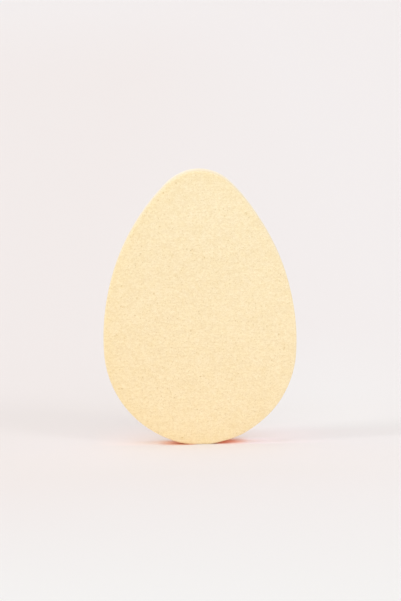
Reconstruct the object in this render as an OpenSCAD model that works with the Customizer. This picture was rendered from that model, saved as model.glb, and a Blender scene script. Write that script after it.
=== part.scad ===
// Flat egg-shaped makeup sponge: one pad of fine open-cell foam, cut from a sheet with a die.
// Z is up. The pad stands on its blunt end, with the origin under its middle on the floor.
// X runs across the width and Y through the thickness, with the front face towards -Y.
// The outline is five arcs that run into each other with no corner: two for the blunt base, two
// long sides and a narrow crown. A small flat under the base is where the soft foam bears.

/* [Outline] */
// Height from the floor to the top of the crown
pad_h = 80; // [70:1:110]
// Radius of each half of the blunt base
base_r = 29.1; // [25:0.1:33]
// How far each half's centre lies beyond the middle, which draws the foot in a little
base_shift = 0.95; // [0:0.05:2]
// Radius of the narrow crown
crown_r = 13.3; // [8:0.1:18]
// Radius of each long side, always more than half the height
side_r = 63.6; // [58:0.2:120]

/* [Foam sheet] */
// Thickness of the foam sheet that the pad is cut from
pad_t = 10; // [6:0.5:20]

/* [Seat] */
// Width of the flat that the pad rests on
seat_w = 6; // [2:0.5:14]

/* [Smoothness] */
// Largest gap between a true arc and the straight steps that draw it
arc_gap = 0.005; // [0.002:0.001:0.05]

/* [Hidden] */

// Centres of the arcs on the right. The seat slices the foot of the base off, so the centre of
// the base arc lies a little below its radius.
seat_reach = seat_w / 2 + base_shift;
base_c = [-base_shift, sqrt(base_r * base_r - seat_reach * seat_reach)];
crown_c = [0, pad_h - crown_r];

// Where two arcs meet, both centres lie on one line through the meeting point. The centres of
// the side, the base and the crown so form a triangle with known sides. It gives how far the
// side centre lies up the line from base to crown, and how far out from that line.
base_gap = side_r - base_r;
crown_gap = side_r - crown_r;
span = norm(crown_c - base_c);
up = (crown_c - base_c) / span;
rise = (base_gap * base_gap - crown_gap * crown_gap + span * span) / (2 * span);
reach = sqrt(base_gap * base_gap - rise * rise);
side_c = base_c + rise * up + reach * [-up.y, up.x];

// Directions from an arc's centre, in degrees up from level: the end of the seat, the end of
// the base and the end of the side
function heading(way) = atan2(way.y, way.x);
seat_end = -acos(seat_reach / base_r);
base_end = heading(base_c - side_c);
side_end = heading(crown_c - side_c);

// Points along an arc, without its last one, which the next arc brings
function arc(centre, r, from, to) =
    let (steps = ceil((to - from) / (2 * acos(1 - arc_gap / r))))
    [for (i = [0 : steps - 1])
        let (turn = from + (to - from) * i / steps)
        centre + r * [cos(turn), sin(turn)]];

// The right half runs from the seat up to the crown, and the left half is its mirror image
right_half = concat(
    arc(base_c, base_r, seat_end, base_end),
    arc(side_c, side_r, base_end, side_end),
    arc(crown_c, crown_r, side_end, 90)
);
left_half = [for (i = [len(right_half) - 1 : -1 : 0]) [-right_half[i].x, right_half[i].y]];
outline = concat(right_half, [[0, pad_h]], left_half);

module foam_pad() {
    color([0.99, 0.90, 0.74])
        rotate([90, 0, 0])
            linear_extrude(height = pad_t, center = true)
                polygon(outline);
}

foam_pad();
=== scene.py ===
import math
from collections import namedtuple

import bpy
import numpy as np
from mathutils import Matrix, Vector, noise
from mathutils.geometry import delaunay_2d_cdt


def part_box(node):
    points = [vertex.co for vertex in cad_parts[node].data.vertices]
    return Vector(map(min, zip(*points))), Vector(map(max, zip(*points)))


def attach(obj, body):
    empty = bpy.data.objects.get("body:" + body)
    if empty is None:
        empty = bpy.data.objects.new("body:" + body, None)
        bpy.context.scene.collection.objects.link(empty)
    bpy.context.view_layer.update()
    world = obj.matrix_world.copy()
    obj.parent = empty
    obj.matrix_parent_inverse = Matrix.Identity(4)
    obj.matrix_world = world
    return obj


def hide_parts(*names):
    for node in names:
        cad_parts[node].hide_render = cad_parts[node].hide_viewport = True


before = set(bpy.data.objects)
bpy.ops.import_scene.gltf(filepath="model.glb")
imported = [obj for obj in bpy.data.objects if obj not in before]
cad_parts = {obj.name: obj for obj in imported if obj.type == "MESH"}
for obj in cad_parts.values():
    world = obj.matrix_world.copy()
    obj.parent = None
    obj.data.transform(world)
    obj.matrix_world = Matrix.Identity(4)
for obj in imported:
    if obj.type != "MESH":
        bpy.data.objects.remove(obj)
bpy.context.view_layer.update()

# A flat egg-shaped makeup sponge: one die-cut pad of fine open-cell foam on its blunt end.
# The pad is one closed mesh, with its pores as real hollows in both faces and in the cut wall.
# Sizes are in millimetres and are turned into metres where Blender takes them.
MM = 0.001

# Name of the solid, and the values that each point of the mesh carries for its material: how
# deep it lies in a pore, whether it is on the cut wall, and how near it is to the edge
PAD = "foam_pad"
HOLLOW = "hollow"
CUT = "cut"
RIM = "rim"

# Start of the random draws
SEED = 7

# The two faces: which way along Y each one looks, and its own place in the noise of its ripple
Side = namedtuple("Side", "way shift")
FRONT = Side(-1, 0.0)
BACK = Side(1, 50.0)

# Outline, read from the points of the solid that lie this close to its front face
FACE_BAND = 0.1
FACE_DIGITS = 4
CURVE_STEPS = 12
OUTLINE_STEPS = 540
NORMAL_REACH = 0.4

# Softened edge, and the wall between the two edges, which is a little slimmer halfway. Near the
# floor the wall's waist fades out, up to the height where it is full.
EDGE_R = 0.45
EDGE_ROWS = 3
WALL_ROWS = 12
WALL_WAIST = 0.12
WAIST_FULL = 2.0
CREASE_ANGLE = 35.0

# Where the cut strays from the solid's outline: the direction from the pad's middle, in degrees
# clockwise from the top, how wide the place is in degrees, and how far out it goes
Stray = namedtuple("Stray", "turn width out")
STRAYS = [
    Stray(0.0, 8.0, 0.18),
    Stray(16.0, 14.0, 0.42),
    Stray(154.0, 8.0, -0.12),
    Stray(171.0, 5.0, -0.14),
    Stray(189.0, 5.0, 0.14),
]

# Faint unevenness that the slicing blade leaves: its height, the width and length of a wave,
# and a finer wave that is a share as high and has its own place in the noise
RIPPLE_DEPTH = 0.035
RIPPLE_WIDE = 9.0
RIPPLE_TALL = 2.2
RIPPLE_FINE = 0.5
RIPPLE_SHIFT = 9.0

# Nicks where the die cut through open cells along both edges. The ranges are shares of the
# depth and the width, and a nick is shallower by a share at both ends of the softened edge.
NICK_PITCH = 1.1
NICK_DEPTH = 0.10
NICK_DEPTHS = (0.1, 1.0)
NICK_WIDTH = 0.35
NICK_WIDTHS = (0.6, 1.6)
NICK_ENDS = 0.4

# Pore sizes: smallest and largest radius, how many there are on a square millimetre, and how
# many sides one has
PoreClass = namedtuple("PoreClass", "r_min r_max density sides")
PORE_CLASSES = [
    PoreClass(0.20, 0.26, 0.003, 9),
    PoreClass(0.16, 0.20, 0.030, 8),
    PoreClass(0.12, 0.16, 0.200, 6),
    PoreClass(0.085, 0.12, 0.750, 6),
]

# Pore shape: depth as a share of the radius and its range, how uneven the rim is, how long an
# oval may be, the gap to the next pore and to the edge, and how many places are tried for one
PORE_DEPTH = 1.1
PORE_DEPTHS = (0.7, 1.3)
PORE_ROUGH = 0.1
PORE_STRETCH = 1.35
PORE_GAP = 0.05
EDGE_CLEAR = 0.08
PORE_TRIES = 4

# A pore with more sides than this has a ring between rim and floor, with its size and depth as
# shares of the pore's
RING_SIDES = 6
RING_SIZE = 0.85
RING_DEPTH = 0.6
RING_HOLLOW = 0.7

# Triangulation: keep what lies inside the loop, and the gap under which points are one
KEEP_INSIDE = 1
WELD_GAP = 1e-7
NO_PORE = -1
SMOOTH_REACH = 6

# How far the painted shade along the edge reaches into the face
RIM_SHADE_REACH = 3.0
RIM_STEPS = 120

# Colours in linear light, and factors that are multiplied with them
BLACK = (0.0, 0.0, 0.0)
FOAM_PALE = (0.960, 0.853, 0.616)
# The second foam colour is the foam in painted shade, towards the bottom left
FOAM_SHADED = (0.952, 0.808, 0.549)
# Tint of the grain, partly painted shade in the fine cells and partly the foam's tone
GRAIN_SHADE_AND_TONE = (0.86, 0.79, 0.66)
# Tint of the painted shade in the pinholes and pores
HOLE_SHADE_TINT = (0.78, 0.70, 0.55)
HUE_TINT = (1.0, 0.995, 0.96)
# Tint of the painted shade along the edge
RIM_SHADE_TINT = (1.0, 0.985, 0.925)
# Painted light: the cut wall is made paler
WALL_LIGHT_TINT = (1.0, 1.02, 1.07)
# The crown's wall: painted shade in front, painted light at the back
CROWN_FRONT_SHADE_TINT = (0.985, 0.965, 0.96)
CROWN_BACK_LIGHT_TINT = (1.03, 1.09, 1.25)
FLOOR = (0.851, 0.812, 0.808)

# Surfaces: foam has a faint sheen, paper has none
FOAM_ROUGH = 0.95
FOAM_GLOSS = 0.15
PAPER_ROUGH = 1.0
PAPER_GLOSS = 0.0

# The foam's colour runs from pale to warm along a slant of the face. The warm end is painted shade:
# darker and warmer towards the bottom and the left.
SHADE_SLANT = (-0.35, 0.0, -1.0)
SHADE_SLANT_FROM = -72.0
SHADE_SLANT_TO = 0.0

# The painted shade along the edge is weak on the right and strong on the left
RIM_SHADE_FROM = 32.0
RIM_SHADE_TO = -5.0

# The crown's wall has painted shade at the front and painted light towards the back, which is
# paler. It runs from far below its top to just below it, and there from the front to the back,
# measured from the front face.
CROWN_FROM = 30.0
CROWN_TO = 2.0
DEPTH_FROM = 0.5
DEPTH_TO = 9.0

# Light that the foam lets through at its cut edge: on the whole wall, near the foot, and at
# the back of the crown. The foot's glow begins, is full, starts to fade and ends at a height.
WALL_GLOW = (0.040, 0.025, 0.010)
FOOT_GLOW = (0.090, 0.075, 0.065)
FOOT_SPAN = (0.8, 3.5, 6.0, 22.0)
BACK_GLOW = (0.080, 0.072, 0.078)

# Layers of noise in the foam: width and height of a wave, its detail, the part of the noise that
# shows, and the tint with its strength. The grain's tint is partly painted shade in the fine cut
# cells and partly the foam's own uneven tone; the streaks and mottling are its tone.
Layer = namedtuple("Layer", "wide tall detail span tint level")
GRAIN = Layer(0.75, 0.44, 3.0, (0.25, 0.75), GRAIN_SHADE_AND_TONE, 0.92)
STREAKS = Layer(7.0, 0.7, 3.0, (0.4, 0.7), GRAIN_SHADE_AND_TONE, 0.17)
MOTTLING = Layer(9.0, 9.0, 2.0, (0.35, 0.7), GRAIN_SHADE_AND_TONE, 0.07)
HUE = Layer(1.8, 1.8, 1.0, (0.3, 0.7), HUE_TINT, 1.0)
GRAIN_BUMP = 0.04

# Cut cells, which take a share of the grain. Where the grain darkens the colour, the cells' hollows
# are painted shade.
CELL_PITCH = 0.26
CELL_REACH = 0.9
CELL_SHARE = 0.3

# Pinholes too fine for the mesh: pitch, the share of places that stay empty, largest radius and
# soft edge as shares of the pitch, and how dark they and the mesh's pores are. Their darkness is
# painted shade in the holes.
HOLE_PITCH = 0.55
HOLE_SKIP = 0.35
HOLE_REACH = 0.34
HOLE_SOFT = 0.15
HOLE_SHADE_LEVEL = 0.4
PORE_SHADE_LEVEL = 0.48

# Patches of the floor. Across and along say where one begins, is full, starts to fade and ends.
# A mirrored one has its distance from the middle for across. The wide ones follow the light on
# the photographed sweep, and the small ones its contact shadow.
Patch = namedtuple("Patch", "tint mirrored across along")
FLOOR_PATCHES = [
    Patch((1.010, 1.048, 1.038), True, (-2, -1, 400, 700), (-700, -350, -300, -80)),
    Patch((0.992, 0.974, 0.962), False, (-700, -400, -50, 70), (-250, -80, 2000, 3400)),
    Patch((1.020, 1.025, 1.055), True, (-2, -1, 25, 60), (-60, -20, 20, 70)),
    Patch((1.010, 1.030, 1.032), False, (8, 18, 45, 80), (18, 30, 110, 300)),
    Patch((1.065, 1.030, 1.030), False, (-32, -20, -14, -8), (-7, -3, 15, 40)),
    Patch((1.065, 1.035, 1.055), False, (8, 14, 24, 40), (-7, -3, 15, 40)),
    Patch((1.080, 1.080, 1.150), False, (9, 13, 17, 24), (-7, -3, 3, 9)),
    Patch((1.000, 0.570, 0.390), False, (-13, -6, -3, -1), (-6.5, -4.8, -1, 6)),
    Patch((0.950, 0.620, 0.500), False, (1, 3, 8, 14), (-3.5, -1, 4, 11)),
    Patch((0.900, 0.770, 0.690), False, (2, 4, 7, 9), (-5, -4, -2, 0)),
]

# Light that the foam lets through to the floor on both sides of its foot
GLOW_PATCHES = [
    Patch((0.125, 0.035, 0.028), False, (-16, -9, -7, -3), (-5, -0.5, 0.5, 6)),
    Patch((0.160, 0.028, 0.022), False, (3, 6, 9.5, 14), (-7, -3.5, 0, 6)),
]
FLOOR_HALF = 30000.0

# Light: strength of the sky, and lamps with their directions in degrees, east of the camera's
# axis and up from the floor
SKY_LEVEL = 0.78
SKY_TOP = 0.26
SKY_SIDE = -0.10
WHITE = (1.0, 1.0, 1.0)
Lamp = namedtuple("Lamp", "name level east up spread")
LAMPS = [
    Lamp("key", 0.12, 41.0, 27.0, 22.0),
    Lamp("fill", 0.12, -68.0, 28.0, 12.0),
    Lamp("front", 0.12, 4.0, 18.0, 40.0),
]

# Camera, fitted to the outline of the pad in the photograph. Its lens is given in pixels of the
# photograph and is measured along the photograph's height.
IMAGE_H = 601
SENSOR = 36.0
FOCAL_PX = 4198.0
CAM_DISTANCE = 1223.0
CAM_HEIGHT = 174.0
AIM = (0.33, 0.0, 41.83)
CAM_ROLL = -0.0165
CLIP_NEAR = 100.0
CLIP_FAR = 100000.0

Pore = namedtuple("Pore", "u v radius depth sides turn stretch")


class Shell:
    """Points and faces of one mesh, in millimetres, with how deep in a pore each point lies
    and whether it is on the cut wall."""

    def __init__(self):
        self.points = []
        self.hollow = []
        self.cut = []
        self.faces = []

    def add(self, point, hollow=0.0, cut=0.0):
        self.points.append(point)
        self.hollow.append(hollow)
        self.cut.append(cut)
        return len(self.points) - 1

    def band(self, lower, upper):
        """Close the gap between two loops that have as many points."""
        count = len(lower)
        for i in range(count):
            j = (i + 1) % count
            self.faces.append((lower[i], lower[j], upper[j]))
            self.faces.append((lower[i], upper[j], upper[i]))


def cad_outline():
    """Outline of the CAD pad in X and Z, read off its front face and put in order."""
    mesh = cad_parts[PAD].data
    front = min(v.co.y for v in mesh.vertices)
    points = {(round(v.co.x / MM, FACE_DIGITS), round(v.co.z / MM, FACE_DIGITS))
              for v in mesh.vertices if v.co.y < front + FACE_BAND * MM}
    middle = 0.5 * (min(p[1] for p in points) + max(p[1] for p in points))
    return sorted(points, key=lambda p: math.atan2(p[0], middle - p[1]) % math.tau)


def smooth_loop(points):
    """Closed curve through the points, with the slope of a parabola at each of them."""
    knots = np.array(points)
    ahead = np.roll(knots, -1, axis=0) - knots
    span = np.linalg.norm(ahead, axis=1)[:, None]
    back = np.roll(span, 1, axis=0)
    slope = ahead / span
    tangent = (slope * back + np.roll(slope, 1, axis=0) * span) / (span + back)
    curve = []
    for step in range(CURVE_STEPS):
        t = step / CURVE_STEPS
        a = 2 * t**3 - 3 * t**2 + 1
        b = t**3 - 2 * t**2 + t
        c = 3 * t**2 - 2 * t**3
        d = t**3 - t**2
        curve.append(a * knots + b * span * tangent + c * np.roll(knots, -1, axis=0)
                     + d * span * np.roll(tangent, -1, axis=0))
    return np.stack(curve, axis=1).reshape(-1, 2)


def strayed(curve):
    """The curve moved in or out where the cut strays from it."""
    away = curve - 0.5 * (curve.min(axis=0) + curve.max(axis=0))
    turn = np.degrees(np.arctan2(away[:, 0], away[:, 1]))
    out = np.zeros(len(curve))
    for stray in STRAYS:
        gap = (turn - stray.turn + 180) % 360 - 180
        out += stray.out * np.exp(-(gap / stray.width) ** 2)
    return curve + away * (out / np.linalg.norm(away, axis=1))[:, None]


class Outline:
    """The pad's outline as a curve by length, starting under the middle of the seat."""

    def __init__(self, points):
        curve = strayed(smooth_loop(points))
        curve[:, 1] = np.maximum(curve[:, 1], 0.0)
        curve = np.vstack([curve, curve[:1]])
        steps = np.linalg.norm(np.diff(curve, axis=0), axis=1)
        self.far = np.concatenate([[0.0], np.cumsum(steps)])
        self.length = self.far[-1]
        self.curve = curve

    def steps(self, count):
        """Lengths along the outline at even steps."""
        return [self.length * i / count for i in range(count)]

    def at(self, s):
        s = s % self.length
        return np.array([np.interp(s, self.far, self.curve[:, 0]),
                         np.interp(s, self.far, self.curve[:, 1])])

    def normal(self, s):
        along = self.at(s + NORMAL_REACH) - self.at(s - NORMAL_REACH)
        return np.array([along[1], -along[0]]) / np.linalg.norm(along)


def wave(x, y, wide, tall, shift):
    return noise.noise(Vector((x / wide, y / tall, shift)))


def ripple(x, z, shift):
    """Height of the sliced surface, from long shallow waves that run across the pad."""
    long_wave = wave(x, z, RIPPLE_WIDE, RIPPLE_TALL, shift)
    fine_wave = wave(x, z, RIPPLE_TALL, RIPPLE_TALL, shift + RIPPLE_SHIFT)
    return RIPPLE_DEPTH * (long_wave + RIPPLE_FINE * fine_wave)


def make_nicks(rng, length):
    """Depth of the nicks along one edge, as a function of the length along it."""
    count = int(length / NICK_PITCH)
    places = rng.uniform(0.0, length, count)
    depths = NICK_DEPTH * rng.uniform(*NICK_DEPTHS, count) ** 2
    widths = NICK_WIDTH * rng.uniform(*NICK_WIDTHS, count)

    def depth_at(s):
        gap = np.abs(places - s % length)
        gap = np.minimum(gap, length - gap)
        return float(np.max(depths * np.exp(-(gap / widths) ** 2)))

    return depth_at


def inside_distance(loop, places):
    """How far each place lies inside a convex loop."""
    loop = np.array(loop)
    along = np.roll(loop, -1, axis=0) - loop
    inward = np.stack([-along[:, 1], along[:, 0]], axis=1)
    inward /= np.linalg.norm(inward, axis=1)[:, None]
    return (places @ inward.T - np.sum(loop * inward, axis=1)).min(axis=1)


def convex(loop):
    """The loop a little smoothed, so that nicks don't upset the test for inside."""
    ring = np.array(loop)
    shifts = range(-SMOOTH_REACH, SMOOTH_REACH + 1)
    return sum(np.roll(ring, k, axis=0) for k in shifts) / len(shifts)


class PlacedPores:
    """Where the pores lie so far, kept in square cells so that only near ones are compared."""

    def __init__(self):
        self.cell = 2 * PORE_CLASSES[0].r_max * PORE_STRETCH * (1 + PORE_ROUGH) + PORE_GAP
        self.taken = {}

    def home(self, u, v):
        return int(u // self.cell), int(v // self.cell)

    def is_free(self, u, v, reach):
        across, up = self.home(u, v)
        near = [p for du in (-1, 0, 1) for dv in (-1, 0, 1)
                for p in self.taken.get((across + du, up + dv), ())]
        return all(math.hypot(u - p[0], v - p[1]) >= reach + p[2] + PORE_GAP for p in near)

    def take(self, u, v, reach):
        self.taken.setdefault(self.home(u, v), []).append((u, v, reach))


def scatter_pores(rng, low, high, area, clear_of):
    """Pores thrown at random, the largest first, that touch neither each other nor the rim."""
    placed = PlacedPores()
    pores = []
    for kind in PORE_CLASSES:
        wanted = int(kind.density * area)
        tries = wanted * PORE_TRIES
        places = rng.uniform(low, high, (tries, 2))
        radii = rng.uniform(kind.r_min, kind.r_max, tries)
        turns = rng.uniform(0.0, math.tau, tries)
        stretches = rng.uniform(1.0, PORE_STRETCH, tries)
        depths = radii * PORE_DEPTH * rng.uniform(*PORE_DEPTHS, tries)
        reaches = radii * stretches * (1 + PORE_ROUGH)
        room = clear_of(places) - reaches - EDGE_CLEAR
        for i in np.flatnonzero(room > 0):
            if wanted == 0:
                break
            u, v = places[i]
            if placed.is_free(u, v, reaches[i]):
                placed.take(u, v, reaches[i])
                pores.append(Pore(u, v, radii[i], depths[i], kind.sides, turns[i], stretches[i]))
                wanted -= 1
    return pores


def pore_ring(pore, share, rough):
    """One ring of a pore: an oval that is a share of the rim's size."""
    ring = []
    for k in range(pore.sides):
        turn = math.tau * k / pore.sides
        r = pore.radius * share * rough[k]
        a = r * math.cos(turn) * pore.stretch
        b = r * math.sin(turn) / pore.stretch
        ring.append((pore.u + a * math.cos(pore.turn) - b * math.sin(pore.turn),
                     pore.v + a * math.sin(pore.turn) + b * math.cos(pore.turn)))
    return ring


def sink_pore(shell, pore, rim, rough, place, cut):
    """Wall and floor of one pore, below its rim."""
    if pore.sides > RING_SIDES:
        ring = [shell.add(place(u, v, pore.depth * RING_DEPTH), RING_HOLLOW, cut)
                for u, v in pore_ring(pore, RING_SIZE, rough)]
        shell.band(rim, ring)
        rim = ring
    floor = shell.add(place(pore.u, pore.v, pore.depth), 1.0, cut)
    for k in range(pore.sides):
        shell.faces.append((rim[k], rim[(k + 1) % pore.sides], floor))


def in_loop_order(corner):
    """True for a triangle inside the loop that all its corners lie on, False in a notch."""
    turns = corner.index(min(corner))
    first, second, third = corner[turns:] + corner[:turns]
    return second < third


def is_surface(corner, owner):
    """False for a triangle over a pore's mouth, and for one outside the loop in a notch."""
    owners = {owner[i] for i in corner}
    over_pore = len(owners) == 1 and NO_PORE not in owners
    in_notch = owners == {NO_PORE} and not in_loop_order(corner)
    return not (over_pore or in_notch)


def pitted_sheet(shell, rng, loop, loop_ids, pores, place, cut):
    """Fill a loop with triangles that leave out the pores, and sink the pores."""
    flat = [Vector(p) for p in loop]
    ids = list(loop_ids)
    owner = [NO_PORE] * len(flat)
    edges = [(i, (i + 1) % len(flat)) for i in range(len(flat))]
    hollows = []
    for number, pore in enumerate(pores):
        rough = rng.uniform(1 - PORE_ROUGH, 1 + PORE_ROUGH, pore.sides)
        first = len(flat)
        rim = []
        for u, v in pore_ring(pore, 1.0, rough):
            flat.append(Vector((u, v)))
            owner.append(number)
            rim.append(shell.add(place(u, v, 0.0), 0.0, cut))
        ids += rim
        edges += [(first + k, first + (k + 1) % pore.sides) for k in range(pore.sides)]
        hollows.append((pore, rim, rough))
    out = delaunay_2d_cdt(flat, edges, [], KEEP_INSIDE, WELD_GAP, True)
    back = [came_from[0] for came_from in out[3]]
    for tri in out[2]:
        corner = [back[i] for i in tri]
        if is_surface(corner, owner):
            shell.faces.append(tuple(ids[i] for i in corner))
    for pore, rim, rough in hollows:
        sink_pore(shell, pore, rim, rough, place, cut)


def edge_rings(shell, outline, side, half, nick):
    """Rings round one softened edge, from the face's loop out to the wall's loop."""
    rings = []
    for row in range(EDGE_ROWS + 1):
        turn = 0.5 * math.pi * row / EDGE_ROWS
        bite = NICK_ENDS + (1 - NICK_ENDS) * math.sin(2 * turn)
        ring = []
        for s in outline.steps(OUTLINE_STEPS):
            inset = EDGE_R * (1 - math.sin(turn)) + nick(s) * bite
            x, z = outline.at(s) - outline.normal(s) * inset
            y = half - EDGE_R * (1 - math.cos(turn)) + ripple(x, z, side.shift) * math.cos(turn)
            ring.append(shell.add((x, side.way * y, max(z, 0.0)), 0.0, math.sin(turn)))
        rings.append(ring)
    return rings


def face_sheet(shell, rng, side, half, loop_ids):
    """One pitted face. Seen from outside, its own u runs to the right."""
    loop = [(-side.way * shell.points[i][0], shell.points[i][2]) for i in loop_ids]
    if side == BACK:
        loop = loop[::-1]
        loop_ids = loop_ids[::-1]
    low = np.min(loop, axis=0)
    high = np.max(loop, axis=0)
    area = np.prod(high - low)

    def place(u, v, depth):
        x = -side.way * u
        return (x, side.way * (half + ripple(x, v, side.shift) - depth), v)

    pores = scatter_pores(rng, low, high, area, lambda p: inside_distance(convex(loop), p))
    pitted_sheet(shell, rng, loop, loop_ids, pores, place, 0.0)


def wall_sheet(shell, rng, outline, half, back_ids, front_ids):
    """The pitted cut wall, unrolled along the outline. Its v runs from back to front."""
    length = outline.length
    reach = half - EDGE_R

    def place(s, v, depth):
        foot = outline.at(s)
        away = outline.normal(s)
        waist = WALL_WAIST * (1 - (v / reach) ** 2) * min(1.0, foot[1] / WAIST_FULL)
        x, z = foot - away * (depth + waist)
        return (x, -v, max(z, 0.0))

    seam_v = [reach * (2 * k / WALL_ROWS - 1) for k in range(1, WALL_ROWS)]
    seam = [shell.add(place(0.0, v, 0.0), 0.0, 1.0) for v in seam_v]
    along = outline.steps(OUTLINE_STEPS)
    loop = [(s, -reach) for s in along] + [(length, -reach)]
    ids = back_ids + back_ids[:1]
    loop += [(length, v) for v in seam_v]
    ids += seam
    loop += [(length, reach)] + [(s, reach) for s in along[::-1]]
    ids += front_ids[:1] + front_ids[::-1]
    loop += [(0.0, v) for v in seam_v[::-1]]
    ids += seam[::-1]

    def clear_of(places):
        s = places[:, 0]
        v = places[:, 1]
        return np.minimum(np.minimum(s, length - s), reach - np.abs(v))

    pores = scatter_pores(rng, (0.0, -reach), (length, reach), length * 2 * reach, clear_of)
    pitted_sheet(shell, rng, loop, ids, pores, place, 1.0)


def near_rim(shell, outline):
    """How near each face point is to the edge, and nothing on the cut wall."""
    loop = [outline.at(s) for s in outline.steps(RIM_STEPS)]
    places = np.array(shell.points)[:, [0, 2]]
    inside = np.maximum(inside_distance(loop, places), 0.0)
    return np.exp(-inside / RIM_SHADE_REACH) * (1.0 - np.array(shell.cut))


def pad_shell(outline, half):
    """The whole pad: two pitted faces, their softened edges and the wall between them."""
    rng = np.random.default_rng(SEED)
    shell = Shell()
    front_nick = make_nicks(rng, outline.length)
    back_nick = make_nicks(rng, outline.length)
    front = edge_rings(shell, outline, FRONT, half, front_nick)
    back = edge_rings(shell, outline, BACK, half, back_nick)
    for row in range(EDGE_ROWS):
        shell.band(front[row + 1], front[row])
        shell.band(back[row], back[row + 1])
    face_sheet(shell, rng, FRONT, half, front[0])
    face_sheet(shell, rng, BACK, half, back[0])
    wall_sheet(shell, rng, outline, half, back[-1], front[-1])
    return shell


def foam_pad():
    """The pad as one object, with the values that its material reads."""
    low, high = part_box(PAD)
    outline = Outline(cad_outline())
    shell = pad_shell(outline, 0.5 * (high[1] - low[1]) / MM)
    mesh = bpy.data.meshes.new("pad_mesh")
    mesh.from_pydata([(x * MM, y * MM, z * MM) for x, y, z in shell.points], [], shell.faces)
    values = {HOLLOW: shell.hollow, CUT: shell.cut, RIM: near_rim(shell, outline)}
    for name, value in values.items():
        mesh.attributes.new(name, "FLOAT", "POINT").data.foreach_set("value", value)
    mesh.shade_smooth()
    mesh.set_sharp_from_angle(angle=math.radians(CREASE_ANGLE))
    pad = bpy.data.objects.new("foam_pad_skin", mesh)
    bpy.context.collection.objects.link(pad)
    return pad


class Nodes:
    """Short calls for building a material's or world's node tree."""

    def __init__(self, owner):
        owner.use_nodes = True
        self.tree = owner.node_tree
        self.tree.nodes.clear()

    def add(self, kind, **settings):
        node = self.tree.nodes.new(kind)
        for name, value in settings.items():
            setattr(node, name, value)
        return node

    def put(self, value, socket):
        """Set a socket to a number or colour, or link the result of another node to it."""
        if isinstance(value, bpy.types.NodeSocket):
            self.tree.links.new(value, socket)
        elif isinstance(value, tuple) and socket.type == "RGBA":
            socket.default_value = (*value, 1.0)
        else:
            socket.default_value = value

    def calc(self, operation, *values):
        """One sum. Each value is a number or the result of another node."""
        node = self.add("ShaderNodeMath", operation=operation)
        for value, socket in zip(values, node.inputs):
            self.put(value, socket)
        return node.outputs[0]

    def axes(self, vector):
        """The X, Y and Z of a vector."""
        node = self.add("ShaderNodeSeparateXYZ")
        self.put(vector, node.inputs[0])
        return tuple(node.outputs)

    def object_coords(self):
        return self.add("ShaderNodeTexCoord").outputs["Object"]

    def attribute(self, name):
        return self.add("ShaderNodeAttribute", attribute_name=name).outputs["Fac"]

    def waves(self, coords, layer):
        """Noise with waves as wide and as tall as the layer says."""
        scale = (1 / (layer.wide * MM), 1 / (layer.tall * MM), 1 / (layer.tall * MM))
        mapping = self.add("ShaderNodeMapping")
        self.put(coords, mapping.inputs["Vector"])
        self.put(scale, mapping.inputs["Scale"])
        node = self.add("ShaderNodeTexNoise")
        self.put(mapping.outputs["Vector"], node.inputs["Vector"])
        self.put(1.0, node.inputs["Scale"])
        self.put(layer.detail, node.inputs["Detail"])
        return node.outputs["Fac"]

    def voronoi(self, coords, pitch):
        node = self.add("ShaderNodeTexVoronoi")
        self.put(1.0 / (pitch * MM), node.inputs["Scale"])
        self.put(coords, node.inputs["Vector"])
        return node.outputs

    def along(self, coords, direction):
        node = self.add("ShaderNodeVectorMath", operation="DOT_PRODUCT")
        self.put(coords, node.inputs[0])
        self.put(direction, node.inputs[1])
        return node.outputs["Value"]

    def spread(self, value, low, high, start=0.0, end=1.0):
        """The value from low to high, stretched to run from start to end."""
        node = self.add("ShaderNodeMapRange", clamp=True)
        limits = {"From Min": low, "From Max": high, "To Min": start, "To Max": end}
        for name, number in limits.items():
            self.put(number, node.inputs[name])
        self.put(value, node.inputs["Value"])
        return node.outputs["Result"]

    def rise(self, value, begin, full):
        """Nothing where a place begins and 1 where it is full, both in millimetres."""
        return self.spread(value, begin * MM, full * MM)

    def window(self, value, edges):
        """1 between two slopes: the value begins, is full, starts to fade and ends there."""
        begin, full, fade, end = edges
        return self.calc("MULTIPLY", self.rise(value, begin, full), self.rise(value, end, fade))

    def average(self, first, second, share):
        node = self.add("ShaderNodeMix", data_type="FLOAT")
        self.put(share, node.inputs[0])
        self.put(first, node.inputs[2])
        self.put(second, node.inputs[3])
        return node.outputs[0]

    def mix(self, base, other, amount, blend="MIX"):
        """The base colour turned towards another by an amount from 0 to 1."""
        node = self.add("ShaderNodeMix", data_type="RGBA", blend_type=blend)
        sockets = {socket.identifier: socket for socket in node.inputs}
        self.put(base, sockets["A_Color"])
        self.put(other, sockets["B_Color"])
        self.put(amount, node.inputs[0])
        return [socket for socket in node.outputs if socket.identifier == "Result_Color"][0]

    def shade(self, base, tint, amount):
        """The base colour times a factor for each channel, by an amount from 0 to 1."""
        return self.mix(base, tint, amount, "MULTIPLY")

    def veil(self, base, value, layer):
        """The base colour shaded by one layer of noise."""
        return self.shade(base, layer.tint, self.spread(value, *layer.span, end=layer.level))

    def bump(self, height, distance):
        node = self.add("ShaderNodeBump")
        self.put(1.0, node.inputs["Strength"])
        self.put(distance * MM, node.inputs["Distance"])
        self.put(height, node.inputs["Height"])
        return node.outputs["Normal"]

    def matt_surface(self, colour, glow, rough, gloss):
        """One plain shader with a little light of its own, as the tree's surface."""
        shader = self.add("ShaderNodeBsdfPrincipled")
        self.put(colour, shader.inputs["Base Color"])
        self.put(glow, shader.inputs["Emission Color"])
        self.put(1.0, shader.inputs["Emission Strength"])
        self.put(rough, shader.inputs["Roughness"])
        self.put(gloss, shader.inputs["Specular IOR Level"])
        out = self.add("ShaderNodeOutputMaterial")
        self.put(shader.outputs["BSDF"], out.inputs["Surface"])
        return shader


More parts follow.
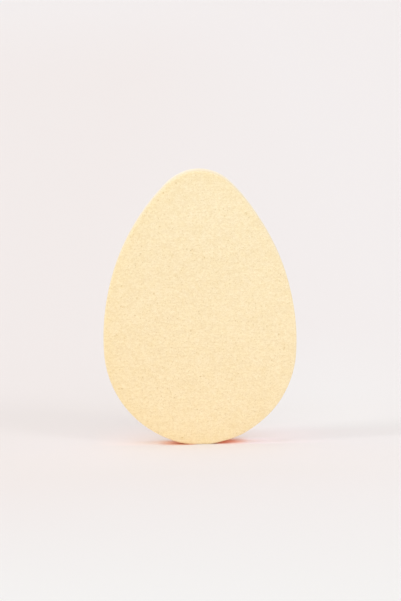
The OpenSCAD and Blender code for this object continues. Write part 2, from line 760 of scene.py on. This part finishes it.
def cut_cells(tree, coords):
    """Cut cells of the foam: 1 in the middle of a cell, falling to 0 at its walls."""
    distance = tree.voronoi(coords, CELL_PITCH)["Distance"]
    return tree.spread(distance, 0.0, CELL_REACH, start=1.0, end=0.0)


def pinholes(tree, coords):
    """Round dots of painted shade, one in some of the cells, each of its own size."""
    cells = tree.voronoi(coords, HOLE_PITCH)
    draw = tree.axes(cells["Color"])[0]
    reach = tree.spread(draw, HOLE_SKIP, 1.0, end=HOLE_REACH)
    return tree.spread(tree.calc("SUBTRACT", reach, cells["Distance"]), 0.0, HOLE_SOFT)


def foam_colour(tree, coords, grain, rim, crown, crown_back_light):
    """A pale yellow with grain, pinholes, streaks and mottling, and painted light and shade: darker
    towards the bottom left, in the cells and holes and along the edge, and paler on the cut wall.
    """
    shade_slant = tree.rise(tree.along(coords, SHADE_SLANT), SHADE_SLANT_FROM, SHADE_SLANT_TO)
    # Painted shade in the pinholes, and deepest in the mesh's pores
    hole_shade = tree.calc("MULTIPLY", pinholes(tree, coords), HOLE_SHADE_LEVEL)
    pores = tree.calc("MULTIPLY", tree.attribute(HOLLOW), PORE_SHADE_LEVEL)
    # Painted shade: darker and warmer towards the bottom and the left
    colour = tree.mix(FOAM_PALE, FOAM_SHADED, shade_slant)
    # The grain: partly painted shade in the cut cells, partly the foam's tone
    colour = tree.veil(colour, grain, GRAIN)
    colour = tree.shade(colour, HOLE_SHADE_TINT, hole_shade)
    colour = tree.shade(colour, HOLE_SHADE_TINT, pores)
    # Painted light: the cut wall and the softened edges made paler
    colour = tree.shade(colour, WALL_LIGHT_TINT, tree.attribute(CUT))
    # Painted shade on the front of the crown's wall, painted light towards its back
    colour = tree.shade(colour, CROWN_FRONT_SHADE_TINT, crown)
    colour = tree.shade(colour, CROWN_BACK_LIGHT_TINT, crown_back_light)
    # Painted shade along the edge
    colour = tree.shade(colour, RIM_SHADE_TINT, rim)
    for layer in (STREAKS, MOTTLING, HUE):
        colour = tree.veil(colour, tree.waves(coords, layer), layer)
    return colour


def foam_glow(tree, z, crown_back_light):
    """Light that the foam lets through at its cut edge."""
    cut = tree.attribute(CUT)
    glow = tree.mix(BLACK, WALL_GLOW, cut)
    glow = tree.mix(glow, FOOT_GLOW, tree.calc("MULTIPLY", cut, tree.window(z, FOOT_SPAN)))
    return tree.mix(glow, BACK_GLOW, crown_back_light)


def foam_material():
    """Fine foam, with the edge, the crown's wall and its back as shares from 0 to 1 for their
    painted light and shade.
    """
    material = bpy.data.materials.new("fine_foam")
    tree = Nodes(material)
    coords = tree.object_coords()
    x, y, z = tree.axes(coords)
    low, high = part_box(PAD)
    front = low[1] / MM
    top = high[2] / MM
    near_top = tree.rise(z, top - CROWN_FROM, top - CROWN_TO)
    near_back = tree.rise(y, front + DEPTH_FROM, front + DEPTH_TO)
    # The edge's painted shade, strong on the left and fading out to the right
    rim = tree.calc("MULTIPLY", tree.attribute(RIM), tree.rise(x, RIM_SHADE_FROM, RIM_SHADE_TO))
    crown = tree.calc("MULTIPLY", tree.attribute(CUT), near_top)
    crown_back_light = tree.calc("MULTIPLY", crown, near_back)
    grain = tree.average(tree.waves(coords, GRAIN), cut_cells(tree, coords), CELL_SHARE)
    colour = foam_colour(tree, coords, grain, rim, crown, crown_back_light)
    glow = foam_glow(tree, z, crown_back_light)
    shader = tree.matt_surface(colour, glow, FOAM_ROUGH, FOAM_GLOSS)
    tree.put(tree.bump(grain, GRAIN_BUMP), shader.inputs["Normal"])
    return material


def floor_material():
    """Pale matt paper with painted light and shade: whiter in front, warm where foam and floor
    light each other, and a painted contact shadow at the foot.
    """
    material = bpy.data.materials.new("pale_paper")
    tree = Nodes(material)
    x, y, _ = tree.axes(tree.object_coords())
    aside = tree.calc("ABSOLUTE", x)

    def share(patch):
        across = aside if patch.mirrored else x
        return tree.calc("MULTIPLY", tree.window(across, patch.across), tree.window(y, patch.along))

    colour = FLOOR
    for patch in FLOOR_PATCHES:
        colour = tree.shade(colour, patch.tint, share(patch))
    glow = BLACK
    for patch in GLOW_PATCHES:
        glow = tree.mix(glow, patch.tint, share(patch))
    tree.matt_surface(colour, glow, PAPER_ROUGH, PAPER_GLOSS)
    return material


def add_floor():
    half = FLOOR_HALF * MM
    mesh = bpy.data.meshes.new("floor_mesh")
    mesh.from_pydata([(-half, -half, 0), (half, -half, 0), (half, half, 0), (-half, half, 0)],
                     [], [(0, 1, 2, 3)])
    floor = bpy.data.objects.new("floor", mesh)
    bpy.context.collection.objects.link(floor)
    floor.data.materials.append(floor_material())


def floor_light():
    """Light on the open floor, where 1 makes a surface render as its own colour."""
    lamps = sum(lamp.level * math.sin(math.radians(lamp.up)) for lamp in LAMPS)
    return SKY_LEVEL + 0.5 * SKY_TOP + lamps


def background(tree, colour, strength):
    node = tree.add("ShaderNodeBackground")
    tree.put(colour, node.inputs["Color"])
    tree.put(strength, node.inputs["Strength"])
    return node.outputs[0]


def add_world():
    """A soft sky, brighter overhead and on the left. The camera sees the far floor instead."""
    world = bpy.data.worlds.new("soft_studio")
    bpy.context.scene.world = world
    tree = Nodes(world)
    x, _, z = tree.axes(tree.add("ShaderNodeTexCoord").outputs["Generated"])
    across = tree.calc("MULTIPLY_ADD", x, SKY_SIDE, SKY_LEVEL)
    level = tree.calc("MULTIPLY_ADD", tree.calc("MULTIPLY", z, z), SKY_TOP, across)
    path = tree.add("ShaderNodeLightPath").outputs
    seen = tree.calc("MAXIMUM", path["Is Camera Ray"], path["Is Glossy Ray"])
    seen = tree.calc("MAXIMUM", seen, path["Is Transmission Ray"])
    far_floor = tuple(channel * floor_light() for channel in FLOOR)
    mix = tree.add("ShaderNodeMixShader")
    tree.put(seen, mix.inputs[0])
    tree.put(background(tree, WHITE, level), mix.inputs[1])
    tree.put(background(tree, far_floor, 1.0), mix.inputs[2])
    out = tree.add("ShaderNodeOutputWorld")
    tree.put(mix.outputs[0], out.inputs["Surface"])


def add_lamp(lamp):
    """A soft lamp far away. Its level is the light on a surface that faces it."""
    east = math.radians(lamp.east)
    up = math.radians(lamp.up)
    towards = Vector((math.cos(up) * math.sin(east), -math.cos(up) * math.cos(east), math.sin(up)))
    light = bpy.data.lights.new(lamp.name, "SUN")
    light.energy = lamp.level * math.pi
    light.angle = math.radians(lamp.spread)
    piece = bpy.data.objects.new(lamp.name, light)
    piece.rotation_euler = towards.to_track_quat("Z", "Y").to_euler()
    bpy.context.collection.objects.link(piece)


def add_camera():
    data = bpy.data.cameras.new("camera")
    data.sensor_width = SENSOR
    data.lens = FOCAL_PX * SENSOR / IMAGE_H
    data.clip_start = CLIP_NEAR * MM
    data.clip_end = CLIP_FAR * MM
    camera = bpy.data.objects.new("camera", data)
    place = Vector((0.0, -CAM_DISTANCE, CAM_HEIGHT)) * MM
    look = Vector(AIM) * MM - place
    turn = look.to_track_quat("-Z", "Y").to_matrix() @ Matrix.Rotation(CAM_ROLL, 3, "Z")
    camera.matrix_world = Matrix.Translation(place) @ turn.to_4x4()
    bpy.context.collection.objects.link(camera)
    bpy.context.scene.camera = camera


add_camera()
add_world()
for lamp in LAMPS:
    add_lamp(lamp)
add_floor()

pad = foam_pad()
pad.data.materials.append(foam_material())
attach(pad, "root")
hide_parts(PAD)

bpy.context.scene.view_settings.view_transform = "Standard"
